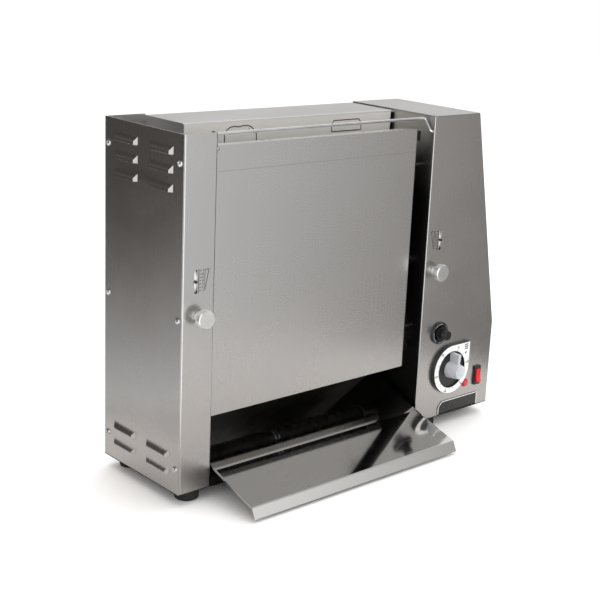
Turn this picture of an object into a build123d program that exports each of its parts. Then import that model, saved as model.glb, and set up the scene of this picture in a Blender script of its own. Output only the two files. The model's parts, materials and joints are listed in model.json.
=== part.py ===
from build123d import *
import os
from math import atan2, cos, degrees, radians, sin, sqrt

# Vertical contact toaster for burger buns. Buns are dropped on edge into the hopper at the top,
# two wire belts carry them down past an upright heated platen, and they slide out on the tray.
# Millimetres. +Z is up, the front faces -Y, and the origin is on the floor under the middle of
# the whole machine, tray and cable gland included.

# ---- driving dimensions ----------------------------------------------------------------------
housing_width = 590.0       # across the foot of the housing
lean_in = 67.0              # how far the right side leans in above its upright foot
lean_start = 133.0          # height of that upright foot
housing_height = 460.0
housing_depth = 171.0
left_housing = 50.0         # width of the narrow left housing
right_housing = 161.0       # width of the control housing at its foot
foot_height = 16.0
sheet = 1.2                 # stainless sheet
tray_reach = 92.0           # how far the tray stands out in front of the housing
gland_reach = 16.0          # how far the cable gland stands out behind it
clearance = 0.5             # between parts that slide or lift past each other
running_fit = 0.05          # radial play of a shaft in its bush

# ---- frame -----------------------------------------------------------------------------------
left = -housing_width / 2
right = housing_width / 2
front = tray_reach - (tray_reach + housing_depth + gland_reach) / 2
back = front + housing_depth
base = foot_height
top = base + housing_height
foot_of_wall = base + sheet
bay_left = left + left_housing      # inner faces of the two housings
bay_right = right - right_housing
lean_z = base + lean_start
lean_x_per_z = lean_in / (top - lean_z)
lean_run = sqrt(1 + lean_x_per_z**2)
lean_angle = atan2(lean_x_per_z, 1)


def right_wall_x(z, inset=0.0):
    """X of the right side's outer face at a height, or of a face parallel to it further in."""
    return min(right - inset, right - lean_x_per_z * (z - lean_z) - inset * lean_run)


# ---- bun path --------------------------------------------------------------------------------
deck_drop = 2.0             # the rear deck lies this much below the housings' tops
deck_front = front + 85.0   # rear wall of the hopper, flush with the platen
deck_left = left + 60.0
deck_top = top - deck_drop
hopper_band = 56.0          # height of the printed band under the deck's front edge
band_gap = 4.5              # gap between the band and the right inner wall
left_plate_drop = 28.0      # the left housing's top plate is sunk this far below the rim
column_flange = 12.0

cover_setback = 13.0        # front cover behind the housings' front faces
cover_left_gap = 2.0
cover_right_gap = 19.0
cover_bottom = base + 91.0
cover_top = base + 441.5
cover_return = 12.0         # depth of the cover's folded sides and top
cover_hem = 8.0             # depth of its bottom fold, in front of the belts
cover_bend = 4.0
cover_lift = 4.5            # lift that frees the cover from its pins
cover_pin_radius = 2.5
cover_pin_heights = (base + 150.0, base + 390.0)

guard_radius = 2.0
guard_bend = 3.0
guard_arm_gap = 4.0
guard_foot = (front + 4.0, base + 438.0)
guard_rail = (front + 17.0, base + 455.0)

platen_thickness = 12.0
platen_side_gap = 4.0
platen_bottom = base + 85.0
platen_top = deck_top - hopper_band - 2.0
element_radius = 4.0
element_pitch = 40.0
element_count = 3
element_margin = 30.0
insulation_thickness = 22.0
insulation_gap = 6.0        # behind the elements

# ---- conveyors -------------------------------------------------------------------------------
shaft_radius = 5.0
drive_y = front + 38.0
drive_z = base + 115.0
idler_z = base + 395.0
roller_radius = 12.0
belt_thickness = 3.0
belt_clearance = 0.3
belt_side_gap = 2.0
lane_gaps = (6.0, 29.0)     # between the conveyors and the two housings
lane_spacing = 4.0
lane_start = bay_left + lane_gaps[0]
lane_width = (bay_right - bay_left - sum(lane_gaps) - lane_spacing) / 2
frame_plate = 2.0
lanes = {
    "left": lane_start,
    "right": lane_start + lane_width + lane_spacing,
}

# ---- thickness adjusters ---------------------------------------------------------------------
adjuster_z = base + 234.0
pointer_z = base + 278.5
adjuster_x = {"left": left + 25.3, "right": right - 143.4}
slot_x = {"left": left + 21.0, "right": right - 133.6}
inward = {"left": 1.0, "right": -1.0}
slot_width = 4.9
slot_height = 30.0
spindle_radius = 4.0
adjuster_travel = 2.5       # the nut's travel each way for one turn of the knob
nut_size = (14.0, 12.0, 14.0)
pointer_swing = 17.5        # degrees each way
pivot_radius = 2.0
arm_height = 12.0           # the frame's arm passes through the wall this far above the nut

# ---- controls --------------------------------------------------------------------------------
thermostat_at = (right - 93.1, base + 73.3)
speed_at = (right - 121.7, base + 134.8)
lamp_at = (right - 55.0, base + 43.0)
rocker_at = (right - 28.0, base + 50.3)
name_plate_low = (right - 112.5, base + 1.7)
name_plate_high = (right - 24.0, base + 22.6)
dial_radius = 38.5
dial_thickness = 6.0
dial_hub_radius = 28.5
knob_gap = 0.4              # between a turning knob and the face behind it

# ---- drive -----------------------------------------------------------------------------------
sprocket_x = bay_right + 7.0
sprocket_width = 4.0
sprocket_radius = 20.0
sprocket_teeth = 15
motor_y = front + 110.0
motor_z = base + 150.0
chain_width = 6.0
chain_thickness = 6.0

# ---- tray ------------------------------------------------------------------------------------
tray_left_gap = 1.5
tray_right_gap = 7.0
tray_lip = (front - tray_reach, base - 12.0)
tray_edge = (front - 85.0, base + 2.5)
tray_fold = (front - 8.0, base + 25.0)
tray_rear = (front + 100.0, base + 70.0)
tray_runner_z = base + 14.0
runner_width = 12.0

foot_radius = 16.0
foot_columns = (left + 29.0, right - 118.0)
foot_rows = (front + 22.0, front + 150.0)
screw_radius = 2.0
screw_head = 4.2
screw_head_height = 2.2

os.makedirs("parts", exist_ok=True)


# ---- shared shapes ---------------------------------------------------------------------------
def hand_over(part, node):
    part.label = node
    export_step(part, f"parts/{node}.step")


def slab(low, high, mode=Mode.ADD):
    """Box between two opposite corners."""
    with Locations(low):
        Box(*(b - a for a, b in zip(low, high)), align=(Align.MIN,) * 3, mode=mode)


def rod(start, direction, radius, length, mode=Mode.ADD):
    """Cylinder from a point along a direction."""
    with BuildSketch(Plane(origin=start, z_dir=direction)) as section:
        Circle(radius)
    extrude(section.sketch, amount=length, mode=mode)


def outline(plane, points, amount, mode=Mode.ADD):
    """Straight-sided plate on a plane."""
    with BuildSketch(plane) as section:
        with BuildLine():
            Polyline(*points, close=True)
        make_face()
    extrude(section.sketch, amount=amount, mode=mode)


def bent_sheet(plane, points, bend, amount, mode=Mode.ADD):
    """Sheet of constant thickness, folded along a path of points."""
    with BuildSketch(plane) as section:
        with BuildLine():
            FilletPolyline(*points, radius=bend)
        trace(line_width=sheet)
    extrude(section.sketch, amount=amount, mode=mode)


def yz_plane(x):
    """Plane across X whose local x runs rearward and local y runs up."""
    return Plane(origin=(x, 0, 0), x_dir=(0, 1, 0), z_dir=(1, 0, 0))


def xz_plane(y):
    """Plane across Y whose local x runs right and local y runs up; its normal faces the front."""
    return Plane(origin=(0, y, 0), x_dir=(1, 0, 0), z_dir=(0, -1, 0))


# ---- louvres ---------------------------------------------------------------------------------
louvre_length = 51.0
louvre_height = 11.0
louvre_rise = 4.0
louvre_pitch = 23.0
louvre_columns = (front + 46.0, front + 122.0)
upper_louvre_rows = [base + 393.0 + louvre_pitch * i for i in range(3)]
lower_louvre_rows = [base + 28.4 + louvre_pitch * i for i in range(2)]


def hood(face, mode):
    """Pressed louvre on a face: sloping hood with splayed ends, open along its lower edge."""
    inset = 0.0 if mode == Mode.ADD else sheet
    low = -louvre_height / 2 - (0.0 if mode == Mode.ADD else sheet)
    with BuildSketch(face.offset(-sheet if mode == Mode.SUBTRACT else -sheet / 2)) as foot:
        with Locations((0, (low + louvre_height / 2 - inset) / 2)):
            Rectangle(louvre_length - 2 * inset, louvre_height / 2 - inset - low)
    with BuildSketch(face.offset(louvre_rise - inset)) as crest:
        with Locations((0, (low - inset - 1.5) / 2)):
            Rectangle(louvre_length - 2 * inset - 10.0, -low - inset - 1.5)
    loft([foot.sketch.face(), crest.sketch.face()], mode=mode)


def side_faces():
    """Faces that carry the louvres: where each louvre sits and which way it looks."""
    faces = {"left": [], "right": []}
    for y in louvre_columns:
        for z in lower_louvre_rows + upper_louvre_rows:
            faces["left"].append(Plane(origin=(left, y, z), x_dir=(0, -1, 0), z_dir=(-1, 0, 0)))
            leaning = lean_angle if z > lean_z else 0.0
            out = (cos(leaning), 0, sin(leaning))
            faces["right"].append(Plane(origin=(right_wall_x(z), y, z), x_dir=(0, 1, 0), z_dir=out))
    return faces


screw_marks = [(163.3, 427.2), (7.6, 424.9), (163.3, 230.2), (7.6, 230.2), (163.3, 34.0), (7.6, 34.0)]


def side_screws():
    """Screw axes on the two side covers: point on the face and outward direction."""
    places = []
    for depth, height in screw_marks:
        z = base + height
        leaning = lean_angle if z > lean_z else 0.0
        places.append(((left, front + depth, z), (-1, 0, 0)))
        places.append(((right_wall_x(z), front + depth, z), (cos(leaning), 0, sin(leaning))))
    return places


rear_screws = [
    ((x, back, z), (0, 1, 0))
    for x in (left + 12.0, bay_left + 12.0, bay_right - 12.0, bay_right + 12.0)
    for z in (base + 14.0, base + 415.0)
]


def screw_holes(places):
    for point, direction in places:
        outward = Vector(*direction)
        start = Vector(*point) - outward * (2 * sheet)
        rod(start, outward, screw_radius, 4 * sheet, Mode.SUBTRACT)


# ---- housing ---------------------------------------------------------------------------------
base_lip = 12.0
with BuildPart() as base_pan:
    slab((left, front, base), (right, back, foot_of_wall))
    lip_y = front + sheet
    slab((bay_left + 1, lip_y, base), (bay_right - 1, lip_y + sheet, base + base_lip))
    for foot_x in foot_columns:
        for foot_y in foot_rows:
            rod((foot_x, foot_y, base), (0, 0, 1), screw_radius, sheet, Mode.SUBTRACT)
hand_over(base_pan.part, "base_pan")

rear_outline = [
    (left, foot_of_wall),
    (right, foot_of_wall),
    (right, lean_z),
    (right_wall_x(top - sheet), top - sheet),
    (bay_right, top - sheet),
    (bay_right, deck_top - sheet),
    (deck_left, deck_top - sheet),
    (deck_left, top),
    (left, top),
]
vent_places = [((bay_left + bay_right) / 2, base + 330.0), (bay_right + 62.0, base + 190.0)]
gland_at = (right - 45.0, base + 40.0)
gland_radius = 8.0
with BuildPart() as rear_panel:
    outline(xz_plane(back), rear_outline, sheet)
    with BuildSketch(xz_plane(back)) as vents:
        for vent_at in vent_places:
            with Locations(vent_at):
                with GridLocations(10, 12, 1, 7):
                    SlotOverall(70.0, 4.0)
        with Locations(gland_at):
            Circle(gland_radius)
    extrude(vents.sketch, amount=sheet, mode=Mode.SUBTRACT)
    screw_holes(rear_screws)
hand_over(rear_panel.part, "rear_panel")

deck_bend = 2.0
with BuildPart() as top_deck:
    deck_path = [
        (deck_front + sheet / 2, deck_top - hopper_band),
        (deck_front + sheet / 2, deck_top - sheet / 2),
        (back, deck_top - sheet / 2),
    ]
    bent_sheet(yz_plane(deck_left), deck_path, deck_bend, bay_right - deck_left)
    notch_low = (bay_right - band_gap, deck_front - 1, deck_top - hopper_band - 1)
    slab(notch_low, (bay_right, deck_front + 2 * sheet, deck_top - 2 * sheet), Mode.SUBTRACT)
    flange_low = (deck_left, deck_front + sheet, top - left_plate_drop)
    slab(flange_low, (deck_left + sheet, back - sheet, deck_top - sheet))
hand_over(top_deck.part, "top_deck")

with BuildPart() as left_side_cover:
    slab((left, front, foot_of_wall), (left + sheet, back - sheet, top))
    for louvre in side_faces()["left"]:
        hood(louvre, Mode.ADD)
    for louvre in side_faces()["left"]:
        hood(louvre, Mode.SUBTRACT)
    screw_holes([place for place in side_screws() if place[1][0] < 0])
hand_over(left_side_cover.part, "left_side_cover")

column_bend = 1.8
with BuildPart() as left_front_column:
    half = sheet / 2
    column_path = [
        (left + sheet + half, front + column_flange),
        (left + sheet + half, front + half),
        (bay_left - half, front + half),
        (bay_left - half, front + column_flange),
    ]
    bent_sheet(Plane.XY.offset(foot_of_wall), column_path, column_bend, top - foot_of_wall)
    with BuildSketch(xz_plane(front + sheet)) as openings:
        with Locations((slot_x["left"], pointer_z)):
            Rectangle(slot_width, slot_height)
        with Locations((adjuster_x["left"], adjuster_z)):
            Circle(spindle_radius + clearance)
    extrude(openings.sketch, amount=sheet, mode=Mode.SUBTRACT)
    for point, direction in side_screws():
        if direction[0] < 0 and point[1] < front + column_flange:
            rod(point, (1, 0, 0), screw_radius, 3 * sheet, Mode.SUBTRACT)
hand_over(left_front_column.part, "left_front_column")

bush_radius = 8.0
arm_slot = (16.0, 10.0)
arm_z = adjuster_z + arm_height


def wall_openings(x):
    """Shaft bush hole and slot for the conveyor frame's arm in an inner wall."""
    with BuildSketch(yz_plane(x)) as holes:
        with Locations((drive_y, drive_z)):
            Circle(bush_radius)
        with Locations((drive_y, arm_z)):
            Rectangle(*arm_slot)
    extrude(holes.sketch, amount=sheet, mode=Mode.SUBTRACT)


left_plate_z = top - left_plate_drop
with BuildPart() as left_inner_wall:
    wall_low = (bay_left - sheet, front + column_flange, foot_of_wall)
    slab(wall_low, (bay_left, back - sheet, left_plate_z - sheet))
    wall_openings(bay_left - sheet)
hand_over(left_inner_wall.part, "left_inner_wall")

with BuildPart() as left_top_plate:
    plate_outline = [
        (left + sheet, front + column_flange),
        (bay_left, front + column_flange),
        (bay_left, deck_front + sheet),
        (deck_left + sheet, deck_front + sheet),
        (deck_left + sheet, back - sheet),
        (left + sheet, back - sheet),
    ]
    outline(Plane.XY.offset(left_plate_z - sheet), plate_outline, sheet)
hand_over(left_top_plate.part, "left_top_plate")

with BuildPart() as right_inner_wall:
    slab((bay_right, front + sheet, foot_of_wall), (bay_right + sheet, back - sheet, top - sheet))
    wall_openings(bay_right)
hand_over(right_inner_wall.part, "right_inner_wall")

control_outline = [
    (bay_right, foot_of_wall),
    (right, foot_of_wall),
    (right, lean_z),
    (right_wall_x(top - sheet), top - sheet),
    (bay_right, top - sheet),
]
control_shaft_radius = 3.0
lamp_radius = 5.0
rocker_hole = (12.0, 27.0)
with BuildPart() as control_panel:
    outline(xz_plane(front + sheet), control_outline, sheet)
    with BuildSketch(xz_plane(front + sheet)) as openings:
        with Locations((slot_x["right"], pointer_z)):
            Rectangle(slot_width, slot_height)
        with Locations((adjuster_x["right"], adjuster_z)):
            Circle(spindle_radius + clearance)
        with Locations(thermostat_at, speed_at):
            Circle(control_shaft_radius + clearance)
        with Locations(lamp_at):
            Circle(lamp_radius)
        with Locations(rocker_at):
            Rectangle(*rocker_hole)
    extrude(openings.sketch, amount=sheet, mode=Mode.SUBTRACT)
hand_over(control_panel.part, "control_panel")

with BuildPart() as right_side_cover:
    kink_inner = lean_z - (lean_run - 1) * sheet / lean_x_per_z
    cover_z = top - sheet
    side_outline = [
        (right, foot_of_wall),
        (right, lean_z),
        (right_wall_x(cover_z), cover_z),
        (right_wall_x(cover_z, sheet), cover_z),
        (right - sheet, kink_inner),
        (right - sheet, foot_of_wall),
    ]
    outline(xz_plane(back - sheet), side_outline, housing_depth - 2 * sheet)
    for louvre in side_faces()["right"]:
        hood(louvre, Mode.ADD)
    for louvre in side_faces()["right"]:
        hood(louvre, Mode.SUBTRACT)
    screw_holes([place for place in side_screws() if place[1][0] > 0])
hand_over(right_side_cover.part, "right_side_cover")

with BuildPart() as right_top_cover:
    slab((bay_right, front, top - sheet), (right_wall_x(top - sheet), back, top))
hand_over(right_top_cover.part, "right_top_cover")

with BuildPart() as cover_screws:
    for point, direction in side_screws() + rear_screws:
        outward = Vector(*direction)
        rod(Vector(*point) - outward * 2 * sheet, outward, screw_radius, 2 * sheet)
        rod(point, direction, screw_head, screw_head_height)
hand_over(cover_screws.part, "cover_screws")

# ---- hopper and platen -----------------------------------------------------------------------
cover_face = front + cover_setback
cover_x = (bay_left + cover_left_gap, bay_right - cover_right_gap)
pin_y = cover_face + 7.0
hook_half = cover_pin_radius + clearance


def cover_block(inset):
    """The cover's outside, or its hollow when inset by the sheet."""
    low = (cover_x[0] + inset, cover_face + inset, cover_bottom + inset)
    slab(low, (cover_x[1] - inset, cover_face + cover_return, cover_top - inset))


with BuildPart() as cover_hollow:
    cover_block(sheet)
    fillet(cover_hollow.edges().filter_by(Axis.Z).group_by(Axis.Y)[0], radius=cover_bend - sheet)

with BuildPart() as front_cover:
    cover_block(0.0)
    fillet(front_cover.edges().filter_by(Axis.Z).group_by(Axis.Y)[0], radius=cover_bend)
    add(cover_hollow.part, mode=Mode.SUBTRACT)
    hem_low = (cover_x[0] + sheet, cover_face + cover_hem, cover_bottom)
    slab(hem_low, (cover_x[1] - sheet, cover_face + cover_return, cover_bottom + sheet), Mode.SUBTRACT)
    for pin_z in cover_pin_heights:
        for side_x in (cover_x[0], cover_x[1] - sheet):
            hook_low = (side_x, pin_y - hook_half, pin_z - cover_lift - hook_half)
            slab(hook_low, (side_x + sheet, pin_y + hook_half, pin_z + hook_half), Mode.SUBTRACT)
            exit_low = (side_x, pin_y, pin_z - cover_lift - hook_half)
            exit_high = (side_x + sheet, cover_face + cover_return, pin_z - cover_lift + hook_half)
            slab(exit_low, exit_high, Mode.SUBTRACT)
    with BuildSketch(Plane.XY.offset(cover_top - sheet)) as eyelets:
        for eyelet_x in (lanes["left"] + lane_width / 2, lanes["right"] + lane_width / 2):
            with Locations((eyelet_x - 6, pin_y), (eyelet_x + 6, pin_y)):
                SlotOverall(7.0, 2.5)
    extrude(eyelets.sketch, amount=sheet, mode=Mode.SUBTRACT)
hand_over(front_cover.part, "front_cover")

pin_end = 2.0               # how far the pins reach past the cover's folded sides
with BuildPart() as cover_pins:
    for pin_z in cover_pin_heights:
        rod((bay_left, pin_y, pin_z), (1, 0, 0), cover_pin_radius, cover_left_gap + sheet + pin_end)
        rod((bay_right, pin_y, pin_z), (-1, 0, 0), cover_pin_radius, cover_right_gap + sheet + pin_end)
hand_over(cover_pins.part, "cover_pins")

with BuildPart() as hopper_guard:
    arm_x = (bay_left + guard_arm_gap, bay_right - guard_arm_gap)
    with BuildLine() as guard_path:
        FilletPolyline(
            (bay_left, *guard_foot),
            (arm_x[0], *guard_foot),
            (arm_x[0], *guard_rail),
            (arm_x[1], *guard_rail),
            (arm_x[1], *guard_foot),
            (bay_right, *guard_foot),
            radius=guard_bend,
        )
    with BuildSketch(Plane(origin=(bay_left, *guard_foot), z_dir=(1, 0, 0))):
        Circle(guard_radius)
    sweep()
hand_over(hopper_guard.part, "hopper_guard")

platen_x = (bay_left + platen_side_gap, bay_right - platen_side_gap)
platen_back = deck_front + platen_thickness
element_x = (bay_left + element_margin, bay_right - element_margin)
element_reach = 18.0
element_z = [
    platen_bottom + (i + 0.5) * (platen_top - platen_bottom) / element_count - element_pitch / 2
    for i in range(element_count)
]


def heating_element(low_z, radius, mode=Mode.ADD):
    """Hairpin rod: two level legs joined at the left, with both ends turned back at the right."""
    with BuildLine() as path:
        FilletPolyline(
            (element_x[1], platen_back + element_reach, low_z),
            (element_x[1], platen_back, low_z),
            (element_x[0], platen_back, low_z),
            (element_x[0], platen_back, low_z + element_pitch),
            (element_x[1], platen_back, low_z + element_pitch),
            (element_x[1], platen_back + element_reach, low_z + element_pitch),
            radius=2.5 * element_radius,
        )
    with BuildSketch(Plane(origin=path.line @ 0, z_dir=(0, -1, 0))) as section:
        Circle(radius)
    sweep(section.sketch, path=path.line, mode=mode)


with BuildPart() as platen:
    slab((platen_x[0], deck_front, platen_bottom), (platen_x[1], platen_back, platen_top))
    front_edges = platen.edges().filter_by(Axis.X).group_by(Axis.Y)[0]
    chamfer(front_edges, length=1.0)
    for low_z in element_z:
        heating_element(low_z, element_radius + running_fit, Mode.SUBTRACT)
hand_over(platen.part, "platen")

with BuildPart() as heating_elements:
    for low_z in element_z:
        heating_element(low_z, element_radius)
hand_over(heating_elements.part, "heating_elements")

insulation_y = platen_back + element_radius + insulation_gap
insulation_x = (platen_x[0] + 6.0, element_x[1] - 3 * element_radius)
insulation_z = (platen_bottom + 5.0, platen_top - 5.0)
with BuildPart() as platen_insulation:
    low = (insulation_x[0], insulation_y, insulation_z[0])
    slab(low, (insulation_x[1], insulation_y + insulation_thickness, insulation_z[1]))
hand_over(platen_insulation.part, "platen_insulation")

with BuildPart() as heat_shield:
    shield_y = insulation_y + insulation_thickness
    slab(
        (insulation_x[0], insulation_y, insulation_z[0] - sheet),
        (insulation_x[1], shield_y + sheet, insulation_z[1] + sheet),
    )
    slab(
        (insulation_x[0], insulation_y, insulation_z[0]),
        (insulation_x[1], shield_y, insulation_z[1]),
        Mode.SUBTRACT,
    )
hand_over(heat_shield.part, "heat_shield")

bracket_sheet = 1.5
bracket_height = 20.0
bracket_leg = 18.0
with BuildPart() as platen_brackets:
    for corner_z in (platen_bottom + 12.0, platen_top - 12.0 - bracket_height):
        for wall_x, hand in ((bay_left, 1.0), (bay_right, -1.0)):
            wall_leg = sorted((wall_x, wall_x + hand * bracket_sheet))
            rear_leg = sorted((wall_x, wall_x + hand * bracket_leg))
            leg_top = corner_z + bracket_height
            slab((wall_leg[0], platen_back, corner_z), (wall_leg[1], platen_back + bracket_leg, leg_top))
            slab((rear_leg[0], platen_back, corner_z), (rear_leg[1], platen_back + bracket_sheet, leg_top))
hand_over(platen_brackets.part, "platen_brackets")

# ---- conveyors -------------------------------------------------------------------------------
belt_inner = roller_radius + belt_clearance
belt_height = idler_z - drive_z
belt_middle = Vector(drive_y, (idler_z + drive_z) / 2)
pressure_gap = 0.6
pressure_plate = 2.0
arm_section = (8.0, 6.0)
fork_plate = 3.0
trunnion_length = 8.0
trunnion_radius = 3.0


def nut_face(side):
    """X of the nut's face that looks at the conveyor."""
    return adjuster_x[side] + inward[side] * nut_size[0] / 2


for side, start_x in lanes.items():
    end_x = start_x + lane_width
    with BuildPart() as conveyor_frame:
        for plate_x in (start_x, end_x - frame_plate):
            with BuildSketch(yz_plane(plate_x)) as cheek:
                with Locations(belt_middle):
                    SlotCenterToCenter(belt_height, 2 * roller_radius, rotation=90)
                with Locations((drive_y, drive_z), (drive_y, idler_z)):
                    Circle(shaft_radius + running_fit, mode=Mode.SUBTRACT)
            extrude(cheek.sketch, amount=frame_plate)
        for hand in (-1, 1):
            plate_y = drive_y + hand * (roller_radius - pressure_gap - pressure_plate / 2)
            low = (start_x, plate_y - pressure_plate / 2, drive_z + 1.5 * roller_radius)
            slab(low, (end_x, plate_y + pressure_plate / 2, idler_z - 1.5 * roller_radius))
        cheek_x = start_x if side == "left" else end_x
        fork_x = nut_face(side) + inward[side] * 3.0
        bar_x = sorted((cheek_x, fork_x))
        half_y, half_z = arm_section[0] / 2, arm_section[1] / 2
        slab((bar_x[0], drive_y - half_y, arm_z - half_z), (bar_x[1], drive_y + half_y, arm_z + half_z))
        fork_span = sorted((fork_x, fork_x + inward[side] * fork_plate))
        fork_bottom = adjuster_z - 2.5 * trunnion_radius
        low = (fork_span[0], drive_y - 2 * trunnion_radius, fork_bottom)
        slab(low, (fork_span[1], drive_y + 2 * trunnion_radius, arm_z + half_z))
        with BuildSketch(yz_plane(fork_span[0])) as fork_slot:
            with Locations((drive_y, adjuster_z)):
                Circle(trunnion_radius + belt_clearance)
        extrude(fork_slot.sketch, amount=fork_plate, mode=Mode.SUBTRACT)
    hand_over(conveyor_frame.part, f"{side}_conveyor_frame")

    roller_x = start_x + frame_plate + belt_side_gap
    roller_length = lane_width - 2 * (frame_plate + belt_side_gap)
    with BuildPart() as conveyor_belt:
        with BuildSketch(yz_plane(roller_x)) as loop:
            with Locations(belt_middle):
                SlotCenterToCenter(belt_height, 2 * (belt_inner + belt_thickness), rotation=90)
                SlotCenterToCenter(belt_height, 2 * belt_inner, rotation=90, mode=Mode.SUBTRACT)
        extrude(loop.sketch, amount=roller_length)
    hand_over(conveyor_belt.part, f"{side}_conveyor_belt")

    journal = frame_plate + belt_side_gap + 1.0
    with BuildPart() as idler_roller:
        rod((roller_x, drive_y, idler_z), (1, 0, 0), roller_radius, roller_length)
        rod((roller_x - journal, drive_y, idler_z), (1, 0, 0), shaft_radius, roller_length + 2 * journal)
    hand_over(idler_roller.part, f"{side}_idler_roller")

with BuildPart() as drive_rollers:
    for start_x in lanes.values():
        roller_x = start_x + frame_plate + belt_side_gap
        roller_length = lane_width - 2 * (frame_plate + belt_side_gap)
        rod((roller_x, drive_y, drive_z), (1, 0, 0), roller_radius, roller_length)
        rod((roller_x, drive_y, drive_z), (1, 0, 0), shaft_radius, roller_length, Mode.SUBTRACT)
hand_over(drive_rollers.part, "drive_rollers")

shaft_x = (bay_left - 8.0, sprocket_x + 14.0)
with BuildPart() as drive_shaft:
    rod((shaft_x[0], drive_y, drive_z), (1, 0, 0), shaft_radius, shaft_x[1] - shaft_x[0])
    chamfer(drive_shaft.edges().filter_by(GeomType.CIRCLE), length=0.5)
hand_over(drive_shaft.part, "drive_shaft")

bush_flange = 2.0
bush_rim = 3.0
bush_length = 5.0
with BuildPart() as shaft_bushes:
    for wall_x, hand in ((bay_left, -1.0), (bay_right, 1.0)):
        rod((wall_x, drive_y, drive_z), (hand, 0, 0), bush_radius, bush_length)
        rod((wall_x, drive_y, drive_z), (-hand, 0, 0), bush_radius + bush_rim, bush_flange)
        bore_start = (wall_x - hand * bush_flange, drive_y, drive_z)
        rod(bore_start, (hand, 0, 0), shaft_radius + running_fit, bush_length + bush_flange, Mode.SUBTRACT)
hand_over(shaft_bushes.part, "shaft_bushes")

motor_shaft_radius = 4.0
motor_shaft_length = 17.0
motor_face_x = sprocket_x + 10.0
hub_wall = 4.0
hub_length = 4.0
tooth_gap = 2.0             # radius of the gaps between the teeth


def sprocket(y, z, bore):
    """Toothed wheel with a hub on its right, as a solid on the sprocket plane."""
    with BuildSketch(yz_plane(sprocket_x)) as wheel:
        with Locations((y, z)):
            Circle(sprocket_radius)
            with PolarLocations(sprocket_radius + 1.0, sprocket_teeth):
                Circle(tooth_gap, mode=Mode.SUBTRACT)
            Circle(bore, mode=Mode.SUBTRACT)
    extrude(wheel.sketch, amount=sprocket_width)
    rod((sprocket_x + sprocket_width, y, z), (1, 0, 0), bore + hub_wall, hub_length)
    rod((sprocket_x + sprocket_width, y, z), (1, 0, 0), bore, hub_length, Mode.SUBTRACT)


with BuildPart() as drive_sprocket:
    sprocket(drive_y, drive_z, shaft_radius)
hand_over(drive_sprocket.part, "drive_sprocket")

with BuildPart() as motor_sprocket:
    sprocket(motor_y, motor_z, motor_shaft_radius)
hand_over(motor_sprocket.part, "motor_sprocket")

with BuildPart() as motor_shaft:
    rod((sprocket_x - 1.0, motor_y, motor_z), (1, 0, 0), motor_shaft_radius, motor_shaft_length)
hand_over(motor_shaft.part, "motor_shaft")

chain_run = sqrt((motor_y - drive_y) ** 2 + (motor_z - drive_z) ** 2)
chain_angle = degrees(atan2(motor_z - drive_z, motor_y - drive_y))
with BuildPart() as drive_chain:
    chain_x = sprocket_x + (sprocket_width - chain_width) / 2
    inner = 2 * (sprocket_radius + clearance)
    with BuildSketch(yz_plane(chain_x)) as loop:
        with Locations(((motor_y + drive_y) / 2, (motor_z + drive_z) / 2)):
            SlotCenterToCenter(chain_run, inner + 2 * chain_thickness, rotation=chain_angle)
            SlotCenterToCenter(chain_run, inner, rotation=chain_angle, mode=Mode.SUBTRACT)
    extrude(loop.sketch, amount=chain_width)
hand_over(drive_chain.part, "drive_chain")

gearbox = (30.0, 70.0, 60.0)
motor_radius = 25.0
motor_length = 62.0
standoff_radius = 4.0
standoff_spread = (28.0, 23.0)  # from the motor shaft, rearward and up
with BuildPart() as gearmotor:
    box_low = (motor_face_x, motor_y - gearbox[1] / 2, motor_z - gearbox[2] / 2)
    slab(box_low, tuple(a + b for a, b in zip(box_low, gearbox)))
    fillet(gearmotor.edges().filter_by(Axis.X), radius=5.0)
    rod((motor_face_x + gearbox[0], motor_y, motor_z), (1, 0, 0), motor_radius, motor_length)
    motor_face = (motor_face_x, motor_y, motor_z)
    rod(motor_face, (1, 0, 0), motor_shaft_radius + running_fit, motor_shaft_length, Mode.SUBTRACT)
    rear_rim = gearmotor.edges().filter_by(GeomType.CIRCLE).sort_by(Axis.X)[-1]
    fillet(rear_rim, radius=3.0)
hand_over(gearmotor.part, "gearmotor")

with BuildPart() as motor_standoffs:
    standoff_start = bay_right + sheet
    for off_y in (-standoff_spread[0], standoff_spread[0]):
        for off_z in (-standoff_spread[1], standoff_spread[1]):
            place = (standoff_start, motor_y + off_y, motor_z + off_z)
            rod(place, (1, 0, 0), standoff_radius, motor_face_x - standoff_start)
hand_over(motor_standoffs.part, "motor_standoffs")

# ---- thickness adjusters ---------------------------------------------------------------------
knob_radius = 12.5
knob_depth = 20.0
knob_head = 8.5
collar_radius = 6.5
knurl_count = 36
spindle_front = front - 12.0
bracket_depth = 74.0
bracket_offset = 15.5       # bracket plate outboard of the knob's axis
bracket_flange = 5.5
post_width = 6.0
post_sheet = 3.0
crank_sheet = 2.0
crank_pin_radius = 1.0
crank_pin_drop = adjuster_travel / sin(radians(pointer_swing))
crank_bar = 3.0
tip_reach = 2.0             # the pointer's tip stands out of its slot by this much


def outboard(side, distance):
    """X at a distance from the knob's axis, away from the bun path."""
    return adjuster_x[side] - inward[side] * distance


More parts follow.
